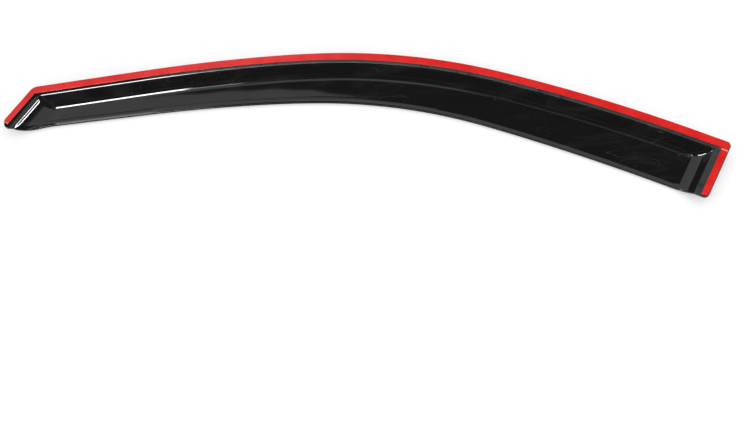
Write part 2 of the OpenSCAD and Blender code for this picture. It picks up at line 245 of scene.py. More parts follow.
class Form:
    """Sizes worked out from the properties, which the surfaces share."""

    def __init__(self, scene):
        self.e = e = scene.deflector_edge
        self.n = n = scene.deflector_ends
        self.c = c = scene.deflector_section
        self.t = t = scene.deflector_tape
        self.edge_len = e.front_run + e.brow_run + e.lead_run + e.crown_run + e.tail_run + e.rear_run
        self.face_z = c.sheet
        self.flange_z = c.sheet + c.depth
        self.tape_far = t.tape_inset + t.tape_w
        self.flange_w = self.tape_far + c.top_spare
        self.end_far = t.tape_inset + t.end_tape_w
        self.front_flange_w = self.end_far + c.front_spare
        self.rear_flange_w = self.end_far + c.rear_spare
        self.joggle_at = self.tape_far + c.joggle_gap
        self.top_wall = Wall(c, atan2(c.depth, c.wall_run), c.valley_round)
        self.front_wall = Wall(c, c.front_slope, c.front_valley)
        self.rear_wall = Wall(c, c.rear_slope, c.rear_valley)
        self.front_zone = (self.front_flange_w + self.front_wall.foot) / cos(n.front_lean)
        self.rear_zone = (self.rear_flange_w + self.rear_wall.foot) / cos(n.rear_lean)
        self.widen = (n.rear_width - n.front_width) / n.taper_run
        self.front_m = -tan(n.front_lean)
        self.rear_m = tan(n.rear_lean)

    def lean_at(self, s):
        """Sideways step of a station for each unit down: the front lean eased out, the rear lean eased in."""
        e = self.e
        from_front = ease((s - self.front_zone) / (e.front_run - self.front_zone))
        from_rear = ease((s - self.edge_len + self.rear_zone + e.rear_run) / e.rear_run)
        return self.front_m * (1 - from_front) - self.rear_m * from_rear

    def from_rear(self, s):
        """Distance of a station inside the flange line of the rear end."""
        return (self.edge_len - s) * cos(self.n.rear_lean) - self.rear_flange_w

    def width_at(self, s):
        """Width square to the top edge: a straight growth that levels off, with a foot at each end."""
        n = self.n
        grown = (n.front_width + self.widen * s) / (1 - self.widen * self.lean_at(s))
        foot = (self.rear_wall.height(self.from_rear(s)) - self.face_z) / self.c.depth
        tip = ease((n.tip_run - s) / (n.tip_run - n.tip_from))
        return (soft_min(grown, n.rear_width, WIDTH_BLEND) + n.foot_drop * foot + n.tip_drop * tip
                - n.tip_cut * clamp01(1 - s / n.tip_from))

    def corner_cut(self, s, front_corner, side):
        """What two corner arcs cut from the top edge, where the side is 1, or from the open side, at -1."""
        front = arc_cut(s, front_corner, side * self.front_m)
        return front + arc_cut(self.edge_len - s, self.n.rear_corner, side * self.rear_m)

    def low_edge(self, s):
        """Distance of the open side below the top edge, with its corners cut."""
        return self.width_at(s) - self.corner_cut(s, self.n.tip_corner, -1)

    def inward(self, s, down):
        """Distance inside the flange line, on the scale of the top wall.

        It is the softened least of the distance from the top and of those distances at
        which the top wall is as high as the front or the rear wall is here. The second
        result is how much nearer the rear flange is than the top one.
        """
        along = s + down * self.lean_at(s)
        from_front = along * cos(self.n.front_lean) + down * sin(self.n.front_lean) - self.front_flange_w
        like_front = self.front_wall.matched(from_front, self.top_wall)
        like_rear = self.rear_wall.matched(self.from_rear(s), self.top_wall)
        from_top = down - self.flange_w
        nearer_end = np.minimum(like_front, like_rear)
        return soft_min(from_top, nearer_end, self.c.corner_blend), from_top - like_rear

    def surface(self, s, down):
        """Point of the inside surface at the distance s along and down from the top edge.

        In plan it is the edge point plus down times (square direction + lean times
        heading). Its height is the face plus the wall's share of the depth, less the drop
        of the rear flange, plus a squared curl over the width of the lip.
        """
        c = self.c
        x, y, h = edge_at(self.e, s)
        m = self.lean_at(s)
        d, beyond = self.inward(s, down)
        share = (self.top_wall.height(d) - self.face_z) / c.depth
        at_rear = ease(beyond / c.corner_blend + 0.5)
        drop = c.joggle_drop * at_rear * ease((down - self.joggle_at) / c.joggle_run)
        curl = clamp01(1 - (self.low_edge(s) - down) / c.lip_w) ** 2
        return np.stack([
            x + down * (np.sin(h) + m * np.cos(h)),
            y + down * (m * np.sin(h) - np.cos(h)),
            self.face_z + share * (c.depth - drop) + c.lip_h * curl * (1 - share),
        ], axis=-1)

    def square_plan(self, s, down):
        """Point in plan at the distance s along the top edge and down square to it."""
        x, y, h = edge_at(self.e, s)
        return x + down * np.sin(h), y - down * np.cos(h)


def arc_reach(r, m):
    """Reach of a corner arc of radius r along the edge, for a station that leans by m."""
    return r * (1 + sin(atan2(m, 1))) / cos(atan2(m, 1))


def arc_cut(x, r, m):
    """Distance from the edge to that arc along the station at x, the lesser root of its quadratic."""
    reach = arc_reach(r, m)
    b = m * (x - reach) - r
    a = 1 + m * m
    root = np.sqrt(np.maximum(b * b - a * (x - reach) ** 2, 0))
    return np.where(x >= reach, 0, (-b - root) / a)


# Objects and meshes from grids

def new_object(name, data):
    """An object of that data in the scene's collection."""
    thing = bpy.data.objects.new(name, data)
    bpy.context.scene.collection.objects.link(thing)
    return thing


def closed_shell(name, upper, lower, material, attributes=(), round_rim=True):
    """A closed skin over two grids of the same size, with a rim of quads between their borders.

    The faces are the cells of the upper grid, those of the lower grid turned over, and one
    quad for each step round the border. The rim is shaded flat where it isn't round.
    """
    rows, columns = upper.shape[:2]
    count = rows * columns
    index = np.arange(count).reshape(rows, columns)
    cells = np.stack([index[:-1, :-1], index[1:, :-1], index[1:, 1:], index[:-1, 1:]], axis=-1).reshape(-1, 4)
    ring = np.concatenate([index[:-1, 0], index[-1, :-1], index[:0:-1, -1], index[0, :0:-1]])
    after = np.roll(ring, -1)
    rim = np.stack([ring, ring + count, after + count, after], axis=-1)
    faces = np.concatenate([cells, cells[:, ::-1] + count, rim])
    points = np.concatenate([upper.reshape(-1, 3), lower.reshape(-1, 3)])
    if signed_volume(points, faces) < 0:
        faces = faces[:, ::-1]
    mesh = bpy.data.meshes.new(name)
    mesh.vertices.add(len(points))
    mesh.vertices.foreach_set("co", points.ravel())
    mesh.loops.add(faces.size)
    mesh.loops.foreach_set("vertex_index", faces.ravel().astype(np.int32))
    mesh.polygons.add(len(faces))
    mesh.polygons.foreach_set("loop_start", np.arange(0, faces.size, 4, dtype=np.int32))
    smooth = np.ones(len(faces), dtype=bool)
    smooth[len(faces) - len(rim):] = round_rim
    mesh.polygons.foreach_set("use_smooth", smooth)
    mesh.update(calc_edges=True)
    for label, values in attributes:
        layer = mesh.attributes.new(label, "FLOAT", "POINT")
        on_both = np.concatenate([values.ravel(), np.zeros(count)])
        layer.data.foreach_set("value", on_both.astype(np.float32))
    if mesh.validate():
        raise RuntimeError(f"{name}: the mesh had faces that don't fit together")
    mesh.materials.append(material)
    return new_object(name, mesh)


def signed_volume(points, faces):
    """Volume of a closed mesh of quads: a sixth of the sum of the triple products of its triangles."""
    a, b, c, d = (points[faces[:, k]] for k in range(4))
    halves = np.einsum("ij,ij->", a, np.cross(b, c)) + np.einsum("ij,ij->", a, np.cross(c, d))
    return halves / 6


def home(form):
    """Step from the outline's own frame, with its origin at the front top corner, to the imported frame."""
    s = stations(form)
    plan = form.surface(s[:, None], rungs(form, s))[..., :2]
    low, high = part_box("visor")
    middle = (plan.min(axis=(0, 1)) + plan.max(axis=(0, 1))) / 2
    return np.array([(low[0] + high[0]) / 2 - middle[0], (low[1] + high[1]) / 2 - middle[1], 0.0])


# How finely the shell is drawn
CORNER_STEPS = 20
BEND_STEPS = 12
SLOPE_STEPS = 9
BODY_STEP = 3 * MM
FACE_STEPS = 12
LIP_STEPS = 8
RIM_STEPS = 4
JOGGLE_STEPS = 8
# Step over which the surface's direction is measured
PROBE = 0.05 * MM


def wall_steps(form):
    """Distances inside the flange line: even turns round each bend, even steps down the slope."""
    wall = form.top_wall
    turn = np.sin(wall.slope * np.arange(BEND_STEPS + 1) / BEND_STEPS)
    top = wall.ridge * turn - wall.reach
    low = wall.foot - wall.valley * turn[::-1]
    slope = np.linspace(top[-1], low[0], SLOPE_STEPS + 1)[1:-1]
    return np.concatenate([top, slope, low])


def stations(form):
    """Distances along the top edge, closer in the corners and over the end walls."""
    n = form.n
    turn = 1 - np.cos(np.linspace(0, pi / 2, CORNER_STEPS + 1))
    walls = wall_steps(form)
    front = (form.front_flange_w + form.top_wall.matched(walls, form.front_wall)) / cos(n.front_lean)
    rear_walls = form.top_wall.matched(walls[::-1], form.rear_wall)
    rear = form.edge_len - (form.rear_flange_w + rear_walls) / cos(n.rear_lean)
    body = np.linspace(front[-1], rear[0], int((rear[0] - front[-1]) / BODY_STEP) + 1)[1:-1]
    tip = arc_reach(n.tip_corner, -form.front_m) * turn
    tail = form.edge_len - arc_reach(n.rear_corner, form.rear_m) * turn[::-1]
    return np.concatenate([tip, front, body, rear, tail])


def rungs(form, s):
    """Distances down from the top edge, one row for each station."""
    c = form.c
    rim = c.edge_round * (1 - np.cos(np.linspace(0, pi / 2, RIM_STEPS + 1)))
    top = form.corner_cut(s, form.n.front_corner, 1)[:, None]
    low = form.low_edge(s)[:, None]
    across = np.ones_like(top)
    joggle = form.joggle_at + np.linspace(0, c.joggle_run, JOGGLE_STEPS + 1)
    margin = top + c.edge_round + (form.joggle_at - c.edge_round - top) * np.array([1 / 3, 2 / 3])
    walls = form.flange_w + wall_steps(form)
    lip_from = low - c.lip_w
    face = walls[-1] + (lip_from - walls[-1]) * np.linspace(0, 1, FACE_STEPS + 1)[1:]
    lip_end = low - c.edge_round
    lip = lip_from + (lip_end - lip_from) * np.linspace(0, 1, LIP_STEPS + 1)[1:-1]
    parts = [top + rim, margin, joggle * across, walls * across, face, lip, low - rim[::-1]]
    return np.concatenate(parts, axis=1)


def visor_grids(form):
    """The inside surface, and the outside at the sheet's thickness along its normal.

    The normal is the cross product of small steps along and across the surface. Near the
    border both are drawn in by r less the root of r squared less (r - e) squared, at the
    distance e from the edge, which rounds the cut edge. The third result is the distance
    outside the flange line, which the primer follows.
    """
    c, n = form.c, form.n
    s = stations(form)
    down = rungs(form, s)
    along = np.repeat(s[:, None], down.shape[1], axis=1)
    inside = form.surface(along, down)
    step_s = form.surface(along + PROBE, down) - form.surface(along - PROBE, down)
    step_d = form.surface(along, down - PROBE) - form.surface(along, down + PROBE)
    normal = np.cross(step_s, step_d)
    normal /= np.linalg.norm(normal, axis=-1, keepdims=True)
    to_side = np.minimum(down - down[:, :1], down[:, -1:] - down)
    to_end = np.minimum(along * cos(n.front_lean), (form.edge_len - along) * cos(n.rear_lean))
    r = c.edge_round
    e = np.clip(np.minimum(to_side, to_end), 0, r)
    pull = (r - np.sqrt(np.maximum(r * r - (r - e) ** 2, 0)))[..., None]
    d, _ = form.inward(along, down)
    return inside - pull * normal, inside - (c.sheet - pull) * normal, -d


# Materials

def feed(tree, socket, value):
    """Link the socket to another one, or set it to a value."""
    if isinstance(value, bpy.types.NodeSocket):
        tree.links.new(value, socket)
    else:
        socket.default_value = value


def add_node(tree, kind, inputs, **settings):
    """A node of that kind with its settings, and with a link or a value at each input given."""
    node = tree.nodes.new("ShaderNode" + kind)
    for label, value in settings.items():
        setattr(node, label, value)
    for label, value in inputs.items():
        feed(tree, node.inputs[label], value)
    return node


def math_node(tree, operation, *values):
    """A Math node on sockets or values."""
    return add_node(tree, "Math", dict(enumerate(values)), operation=operation).outputs[0]


def weighted_sum(tree, start, *terms):
    """The start plus each value times its weight."""
    total = start
    for value, weight in terms:
        total = math_node(tree, "MULTIPLY_ADD", value, weight, total)
    return total


def noise_node(tree, vector, scale, detail=2.0, distortion=0.0, roughness=0.5):
    """A Noise Texture's value."""
    inputs = {"Vector": vector, "Scale": scale, "Detail": detail, "Roughness": roughness}
    return add_node(tree, "TexNoise", {**inputs, "Distortion": distortion}).outputs["Fac"]


def ramp_node(tree, value, low, high):
    """The value mapped from low..high to 0..1 with a smooth step."""
    inputs = {"Value": value, "From Min": low, "From Max": high}
    return add_node(tree, "MapRange", inputs, interpolation_type="SMOOTHSTEP").outputs["Result"]


def stretched(tree, vector, degrees, scale):
    """Coordinates turned about Z and scaled along each axis."""
    inputs = {"Vector": vector, "Rotation": (0, 0, radians(degrees)), "Scale": scale}
    return add_node(tree, "Mapping", inputs).outputs["Vector"]


def mix_colour(tree, mask, a, b):
    """A Mix node on two colours, sockets or values."""
    node = add_node(tree, "Mix", {"Factor": mask}, data_type="RGBA")
    for label, tone in (("A", a), ("B", b)):
        socket = next(i for i in node.inputs if i.name == label and i.type == "RGBA")
        feed(tree, socket, tone if isinstance(tone, bpy.types.NodeSocket) else (*tone, 1))
    return next(o for o in node.outputs if o.type == "RGBA")


def attribute(tree, name):
    """The value that the mesh carries under that name."""
    return add_node(tree, "Attribute", {}, attribute_name=name).outputs["Fac"]


def bump_node(tree, shader, height, depth):
    """A Bump node of the given depth in metres that feeds the shader's Normal."""
    bump = add_node(tree, "Bump", {"Height": height, "Distance": depth})
    tree.links.new(bump.outputs["Normal"], shader.inputs["Normal"])


def dust_mask(tree, vector, scale):
    """Fine settled specks: small noise cells above a threshold, thinned by a broad noise."""
    specks = ramp_node(tree, noise_node(tree, vector, scale, detail=1.0), low=0.68, high=0.78)
    patches = ramp_node(tree, noise_node(tree, vector, 14.0, detail=3.0), low=0.42, high=0.7)
    return math_node(tree, "MULTIPLY", specks, patches)


def smear_mask(tree, vector, scale):
    """Wiped smears: a warped noise, stretched along the wiping direction."""
    turned = stretched(tree, vector, degrees=24, scale=(1.0, 3.2, 1.0))
    smear = noise_node(tree, turned, scale, detail=5.0, distortion=1.4, roughness=0.6)
    return ramp_node(tree, smear, low=0.46, high=0.72)


# Directions of the hairlines, in degrees
HAIRLINE_TURNS = (18, -37, 71)


def hairline_mask(tree, vector, scale):
    """Hairlines in three directions: where a warped noise is about one half, broken up by another one."""
    total = None
    for turn in HAIRLINE_TURNS:
        turned = stretched(tree, vector, turn, scale=(0.35, 1.0, 1.0))
        field = noise_node(tree, turned, scale, detail=1.0, distortion=0.6)
        away = math_node(tree, "ABSOLUTE", math_node(tree, "SUBTRACT", field, 0.5))
        line = math_node(tree, "SUBTRACT", 1.0, ramp_node(tree, away, low=0.0, high=0.0035))
        broken = ramp_node(tree, noise_node(tree, turned, 22.0), low=0.56, high=0.66)
        mask = math_node(tree, "MULTIPLY", line, broken)
        total = mask if total is None else math_node(tree, "MAXIMUM", total, mask)
    return total


MASKS = {"Dust Specks": dust_mask, "Wiped Smears": smear_mask, "Hairlines": hairline_mask}


def mask_group(name):
    """A node group whose Mask is its pattern, drawn at its Scale on its Vector, times its Amount."""
    group = bpy.data.node_groups.new(name, "ShaderNodeTree")
    group.interface.new_socket(name="Vector", in_out="INPUT", socket_type="NodeSocketVector")
    for label in ("Scale", "Amount"):
        group.interface.new_socket(name=label, in_out="INPUT", socket_type="NodeSocketFloat")
    group.interface.new_socket(name="Mask", in_out="OUTPUT", socket_type="NodeSocketFloat")
    inside = group.nodes.new("NodeGroupInput").outputs
    mask = MASKS[name](group, inside["Vector"], inside["Scale"])
    out = group.nodes.new("NodeGroupOutput").inputs
    group.links.new(math_node(group, "MULTIPLY", mask, inside["Amount"]), out["Mask"])
    return group


def mask_of(tree, name, vector, scale, amount=1.0):
    """The Mask of a node group, placed with its own scale and amount, and made the first time."""
    group = bpy.data.node_groups.get(name) or mask_group(name)
    inputs = {"Vector": vector, "Scale": scale, "Amount": amount}
    return add_node(tree, "Group", inputs, node_tree=group).outputs["Mask"]


def new_material(name, base, settings):
    """A material with a Principled shader of those settings, its tree, and the piece's own coordinates."""
    material = bpy.data.materials.new(name)
    material.use_nodes = True
    material.diffuse_color = (*base, 1)
    tree = material.node_tree
    shader = tree.nodes["Principled BSDF"]
    shader.inputs["Base Color"].default_value = (*base, 1)
    for label, value in settings.items():
        shader.inputs[label].default_value = value
    own = tree.nodes.new("ShaderNodeTexCoord").outputs["Object"]
    return material, tree, shader, own


def tinted(base, shares):
    """The colour with each part times its share."""
    return tuple(part * share for part, share in zip(base, shares))


# Colours of the primer wiped on the flange, of dust, and of the painted pinkish highlight where the liner
# steps over the drop
PRIMER_GREY = (0.028, 0.034, 0.034)
DUST_GREY = (0.30, 0.29, 0.27)
LINER_DUST = (0.8, 0.6, 0.58)
PAINTED_HIGHLIGHT_PINK = (0.92, 0.55, 0.52)
# Distances outside the flange line over which the primer sets in, and the same along the part
PRIMER_EDGE = (0.2 * MM, 1.8 * MM)
PRIMER_FROM = (-0.30, -0.20)
# Roughness of the bare acrylic, and what smears, primer and hairlines add to it
ACRYLIC_ROUGH = 0.022
SMEAR_ROUGH = 0.012
PRIMER_ROUGH = 0.3
HAIRLINE_ROUGH = 0.15
# Share of the dust's colour in smears and hairlines
SMEAR_TINT = 0.03
HAIRLINE_TINT = 0.14
# Heights of hairlines and of the primer's grain beside the slow waves of the sheet, and the waves' own
HAIRLINE_HEIGHT = -0.05
GRAIN_HEIGHT = 0.06
ACRYLIC_RELIEF = 0.05 * MM


def primer_mask(tree, own):
    """Where the primer lies: on the flange, in soft patches, from some way behind the front end."""
    on_flange = ramp_node(tree, attribute(tree, "flange"), *PRIMER_EDGE)
    patchy = ramp_node(tree, noise_node(tree, own, 60.0, detail=4.0), low=0.05, high=0.5)
    along = add_node(tree, "SeparateXYZ", {"Vector": own}).outputs["X"]
    wiped = ramp_node(tree, along, *PRIMER_FROM)
    return math_node(tree, "MULTIPLY", math_node(tree, "MULTIPLY", on_flange, patchy), wiped)


def acrylic_material():
    """Glossy black acrylic with faint smears and hairlines, and a dull wiped primer on the flange."""
    black = COLOURS[ACRYLIC_SLOT]
    material, tree, shader, own = new_material("Black Acrylic", black, {"IOR": 1.49})
    primer = primer_mask(tree, own)
    smear = mask_of(tree, "Wiped Smears", own, scale=9.0)
    lines = mask_of(tree, "Hairlines", own, scale=26.0)
    dust = mask_of(tree, "Dust Specks", own, scale=900.0, amount=0.35)
    tone = mix_colour(tree, primer, black, PRIMER_GREY)
    tone = mix_colour(tree, math_node(tree, "MULTIPLY", smear, SMEAR_TINT), tone, DUST_GREY)
    tone = mix_colour(tree, math_node(tree, "MULTIPLY", lines, HAIRLINE_TINT), tone, DUST_GREY)
    tree.links.new(mix_colour(tree, dust, tone, DUST_GREY), shader.inputs["Base Color"])
    rough = weighted_sum(
        tree, ACRYLIC_ROUGH, (smear, SMEAR_ROUGH), (primer, PRIMER_ROUGH), (lines, HAIRLINE_ROUGH))
    tree.links.new(rough, shader.inputs["Roughness"])
    wave = noise_node(tree, own, 11.0, detail=1.0)
    grain = math_node(tree, "MULTIPLY", noise_node(tree, own, 700.0), primer)
    height = weighted_sum(tree, wave, (lines, HAIRLINE_HEIGHT), (grain, GRAIN_HEIGHT))
    bump_node(tree, shader, height, ACRYLIC_RELIEF)
    return material


# Shares of the foam's colour in its cell pits, which paint shade there, and depth of its cells
FOAM_PIT_SHADE = (0.6, 0.6, 0.6)
FOAM_RELIEF = 0.12 * MM


def foam_material():
    """Matt dark foam with a fine cell grain, and painted shade in its cell pits."""
    grey = COLOURS[FOAM_SLOT]
    material, tree, shader, own = new_material("Foam Tape", grey, {"Roughness": 0.9})
    cells = add_node(tree, "TexVoronoi", {"Vector": own, "Scale": 3500.0}).outputs["Distance"]
    raised = ramp_node(tree, cells, low=0.1, high=0.7)
    # Painted shade: darker colour in the cell pits, where the bump is low
    tone = mix_colour(tree, raised, tinted(grey, FOAM_PIT_SHADE), grey)
    dust = mask_of(tree, "Dust Specks", own, scale=1200.0, amount=0.4)
    tree.links.new(mix_colour(tree, dust, tone, DUST_GREY), shader.inputs["Base Color"])
    bump_node(tree, shader, cells, FOAM_RELIEF)
    return material


# Shares of the film's colour in its deeper patches, and over specks trapped under it
LINER_PATCHES = (0.86, 0.5, 0.5)
LINER_SPECKS = (0.35, 0.4, 0.5)
SPECK_TINT = 0.7
# Share of the painted highlight where the liner steps over the drop
PAINTED_HIGHLIGHT_TINT = 0.8
LINER_ROUGH = 0.12
# Heights of creases and specks beside the film's slow waves, and the waves' own
CREASE_HEIGHT = 0.12
SPECK_HEIGHT = -0.2
LINER_RELIEF = 0.15 * MM


def liner_material():
    """Red release film: slightly uneven, with trapped specks along its inner edge, light creases, and a
    painted pinkish highlight where it steps over the drop.
    """
    red = COLOURS[LINER_SLOT]
    material, tree, shader, own = new_material("Red Liner", red, {"IOR": 1.5})
    uneven = ramp_node(tree, noise_node(tree, own, 35.0, detail=4.0), low=0.3, high=0.7)
    tone = mix_colour(tree, uneven, tinted(red, LINER_PATCHES), red)
    at_edge = ramp_node(tree, attribute(tree, "inner_edge"), low=0.55, high=0.95)
    fine = ramp_node(tree, noise_node(tree, own, 420.0, detail=1.0), low=0.6, high=0.68)
    specks = math_node(tree, "MULTIPLY", fine, at_edge)
    tone = mix_colour(tree, math_node(tree, "MULTIPLY", specks, SPECK_TINT), tone, tinted(red, LINER_SPECKS))
    # Painted highlight: a pale pink line across the liner, strongest halfway down its step over the drop
    painted_highlight = math_node(tree, "MULTIPLY", attribute(tree, "painted_highlight"), PAINTED_HIGHLIGHT_TINT)
    tone = mix_colour(tree, painted_highlight, tone, PAINTED_HIGHLIGHT_PINK)
    dust = mask_of(tree, "Dust Specks", own, scale=1000.0, amount=0.1)
    tree.links.new(mix_colour(tree, dust, tone, LINER_DUST), shader.inputs["Base Color"])
    smear = mask_of(tree, "Wiped Smears", own, scale=40.0, amount=0.06)
    tree.links.new(math_node(tree, "ADD", smear, LINER_ROUGH), shader.inputs["Roughness"])
    creases = mask_of(tree, "Hairlines", own, scale=90.0)
    wave = noise_node(tree, own, 70.0, detail=3.0)
    height = weighted_sum(tree, wave, (creases, CREASE_HEIGHT), (specks, SPECK_HEIGHT))
    bump_node(tree, shader, height, LINER_RELIEF)
    return material


MAKERS = {"Black Acrylic": acrylic_material, "Foam Tape": foam_material, "Red Liner": liner_material}


def material_for(name):
    """The material of that name, made the first time that it is asked for."""
    return bpy.data.materials.get(name) or MAKERS[name]()


# Tape strips

# How finely the strips are drawn
STRIP_STEP = 2 * MM
LEAST_ROWS = 32
STRIP_ACROSS = 12
# Lengths of the slow waves in a liner's edge, and the most that they may take of its thickness
RIPPLE_WAVES = (0.021, 0.034, 0.057)
RIPPLE_SHARE = 0.4


def spread(run):
    """Parameters along and across a strip of that length: even along it, closer together at its sides."""
    rows = max(int(run / STRIP_STEP), LEAST_ROWS)
    u = np.linspace(0, 1, rows + 1)
    v = 0.5 - 0.5 * np.cos(np.linspace(0, pi, STRIP_ACROSS + 1))
    return u[:, None], v[None, :]


def joint(form, down, inset):
    """Point at one distance down from the top edge and another in from the front edge.

    It is given as its places along the top edge and down the front edge. The run down the
    front edge is (down - inset times sine) over cosine of the lean.
    """
    lean = form.n.front_lean
    run = (down - inset * sin(lean)) / cos(lean)
    return np.array([inset * cos(lean) - run * sin(lean), run])


def mitred(form, side, u, v, end, width):
    """Places along and in from a strip's edge, from the joint round the front corner to the strip's end.

    The outer side follows the outline's corner arc: inset = R - root of (r squared less the
    squared distance before the arc's end), and the joint is a straight line to the inner side.
    """
    n, t = form.n, form.t
    half_turn = (pi / 2 - n.front_lean) / 2
    r = n.front_corner - t.tape_inset
    arc_end = joint(form, n.front_corner, n.front_corner)[side]
    inner = joint(form, form.tape_far, form.end_far)[side] + t.tape_gap / 2 / cos(half_turn)
    outer = arc_end - r * sin(half_turn - asin(t.tape_gap / 2 / r))
    start = outer + (inner - outer) * v
    along = start + (end - start) * u
    before = np.maximum(arc_end - along[:, :1], 0)
    edge = n.front_corner - np.sqrt(r * r - before ** 2)
    return along, edge + (t.tape_inset + width - edge) * v


def corner_pull(v, width, r):
    """How much shorter a strip is at the distance v times width from its rounded outer side."""
    inside = np.maximum(r - v * width, 0)
    return r - np.sqrt(np.maximum(r * r - inside * inside, 0))


def ripple(form, along, v):
    """Slow waves of the liner: three sines of unequal length, strongest at its inner edge, never below 0."""
    total = sum(np.sin(2 * pi * along / wave + 5 * wave / MM) for wave in RIPPLE_WAVES)
    return form.t.ripple * (0.5 + total / 6) * v ** 4


def down_end(corner, turn, along, inset):
    """Plan of points so far down an end's edge, which starts at the corner, and so far in from it.

    The edge runs square to the heading turn, so a point is the corner plus along times the
    turn's sine and minus cosine, plus inset times its cosine and sine.
    """
    x, y = corner
    return x + along * sin(turn) + inset * cos(turn), y - along * cos(turn) + inset * sin(turn)


def top_strip(form):
    """Plan of the top strip, mitred in front and rounded at its outer rear corner.

    Like the other two, it gives x and y, the places along and across the strip, and its drop.
    """
    n, t = form.n, form.t
    u, v = spread(form.edge_len)
    end = form.edge_len - t.tape_inset - corner_pull(v, t.tape_w, n.rear_corner - t.tape_inset)
    along, down = mitred(form, 0, u, v, end, t.tape_w)
    x, y = form.square_plan(along, down)
    return x, y, along, v, 0 * along


def front_strip(form):
    """Plan of the front strip, down the leaning end, with one rounded foot."""
    n, t = form.n, form.t
    slanted = (n.front_width + n.tip_drop - n.tip_cut) / cos(n.front_lean)
    straight = slanted - n.tip_corner * tan((pi / 2 + n.front_lean) / 2)
    r = n.tip_corner - t.tape_inset - t.tape_end
    u, v = spread(straight)
    end = straight + r - corner_pull(v, t.end_tape_w, r)
    along, inset = mitred(form, 1, u, v, end, t.end_tape_w)
    x, y = down_end((0, 0), form.e.front_rise - n.front_lean, along, inset)
    return x, y, along, v, 0 * along


def rear_strip(form):
    """Plan of the rear strip and its drop, down the rear end and over the step in the flange."""
    n, t, c = form.n, form.t, form.c
    r = n.rear_corner - t.tape_inset - t.tape_end
    first = form.tape_far + t.tape_gap
    last = n.rear_width + n.foot_drop - t.tape_end
    u, v = spread(last)
    end = last - corner_pull(v, t.end_tape_w, r)
    over = form.joggle_at + np.linspace(0, 1, 2 * JOGGLE_STEPS) * c.joggle_run
    steps = np.unique(np.concatenate([u[:, 0], (over - first) / (last - first)]))
    along = first + (end - first) * steps[:, None]
    inset = t.tape_inset + v * t.end_tape_w + 0 * along
    *corner, heading = edge_at(form.e, form.edge_len)
    x, y = down_end(corner, float(heading) - n.rear_lean, along, -inset)
    return x, y, along, v, c.joggle_drop * ease((along - form.joggle_at) / c.joggle_run)


def lay_tape(form, prefix, strip):
    """The foam and the liner of one strip, as closed shells one on the other, on the flange."""
    x, y, along, v, drop = strip(form)
    t = form.t
    step = home(form)

    def level(z):
        return np.stack([x, y, z - drop + 0 * x], axis=-1) + step

    flange, foam_top = form.flange_z, form.flange_z + t.foam_t
    lift = np.minimum(ripple(form, along, v), t.liner_t * RIPPLE_SHARE)
    # Where the liner carries its painted highlight: strongest halfway down the drop
    share = drop / form.c.joggle_drop + 0 * x
    foam = closed_shell(
        prefix + "_foam", level(foam_top), level(flange), material_for("Foam Tape"), round_rim=False)
    liner = closed_shell(
        prefix + "_liner", level(foam_top + t.liner_t - lift), level(foam_top), material_for("Red Liner"),
        [("inner_edge", v + 0 * x), ("painted_highlight", 4 * share * (1 - share))], round_rim=False)
    for piece, node, slot in ((foam, "_foam", FOAM_SLOT), (liner, "_liner", LINER_SLOT)):
        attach(piece, "root")
        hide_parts(prefix + node)


class DEFLECTOR_OT_visor(Operator):
    """Make the moulded acrylic shell"""
    bl_idname = "deflector.visor"
    bl_label = "Acrylic Shell"

    def execute(self, context):
        form = Form(context.scene)
        upper, lower, flange = visor_grids(form)
        step = home(form)
        piece = closed_shell(
            "acrylic_shell", upper + step, lower + step, material_for("Black Acrylic"), [("flange", flange)])
        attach(piece, "root")
        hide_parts("visor")
        return {"FINISHED"}


class DEFLECTOR_OT_top_tape(Operator):
    """Lay the foam tape and its liner along the top edge"""
    bl_idname = "deflector.top_tape"
    bl_label = "Top Tape"

    def execute(self, context):
        lay_tape(Form(context.scene), "top_tape", top_strip)
        return {"FINISHED"}


class DEFLECTOR_OT_front_tape(Operator):
    """Lay the foam tape and its liner down the leaning front end"""
    bl_idname = "deflector.front_tape"
    bl_label = "Front Tape"

    def execute(self, context):
        lay_tape(Form(context.scene), "front_tape", front_strip)
        return {"FINISHED"}


class DEFLECTOR_OT_rear_tape(Operator):
    """Lay the foam tape and its liner down the rear end"""
    bl_idname = "deflector.rear_tape"
    bl_label = "Rear Tape"

    def execute(self, context):
        lay_tape(Form(context.scene), "rear_tape", rear_strip)
        return {"FINISHED"}


# Camera, floor and light

SENSOR_WIDTH = 36.0
FLOOR_REACH = 40.0
# Shader settings of the floor and the cards: no gloss, and white for their own light
GLOWING = {"Specular IOR Level": 0.0, "Emission Color": (1, 1, 1, 1)}
# Light of its own that the floor shows the camera, where 1 is white
FLOOR_GLOW = 0.40
# Place and size of the soft key light
KEY_PLACE = (1.1, 0.0, 2.2)
KEY_SIZE = (2.4, 2.4)
# Heights of the cards and lamps, far off, so that what the part mirrors doesn't slide along it
CARD_HEIGHT = 20.0
GLOW_HEIGHT = 19.5
LAMP_HEIGHT = 19.0
# How bright the dark cards are, where 1 is white
CARD_GREY = 0.09
# Edge of the card above, as places over its height. The notch on the left lets the front end
# mirror the white behind it, and the long upper edge ends the white in the main face.
CARD_PLAN = (
    (-1.6, -1.6), (-1.6, 0.30), (-0.33, 0.30), (-0.18, 0.19), (-0.05, 0.08), (0.10, -0.04), (0.40, -0.25),
    (0.56, -0.36), (0.66, -0.19), (0.50, -0.10), (0.36, -0.01), (0.22, 0.09), (0.06, 0.19), (-0.10, 0.31),
    (-0.03, 0.48), (-0.095, 0.512), (-0.126, 0.5221), (-0.157, 0.5288), (-0.195, 0.5382), (-0.234, 0.5428),
    (-0.327, 0.5419), (-0.365, 0.5412), (-0.365, 0.553), (-0.234, 0.556), (-0.13, 0.56), (-0.188, 0.6175),
    (-0.30, 0.7095), (-0.258, 0.7655), (-0.146, 0.6735), (-0.05, 0.61), (-0.02, 0.80), (0.3, 0.80),
    (1.6, 0.80), (1.6, -1.6),
)
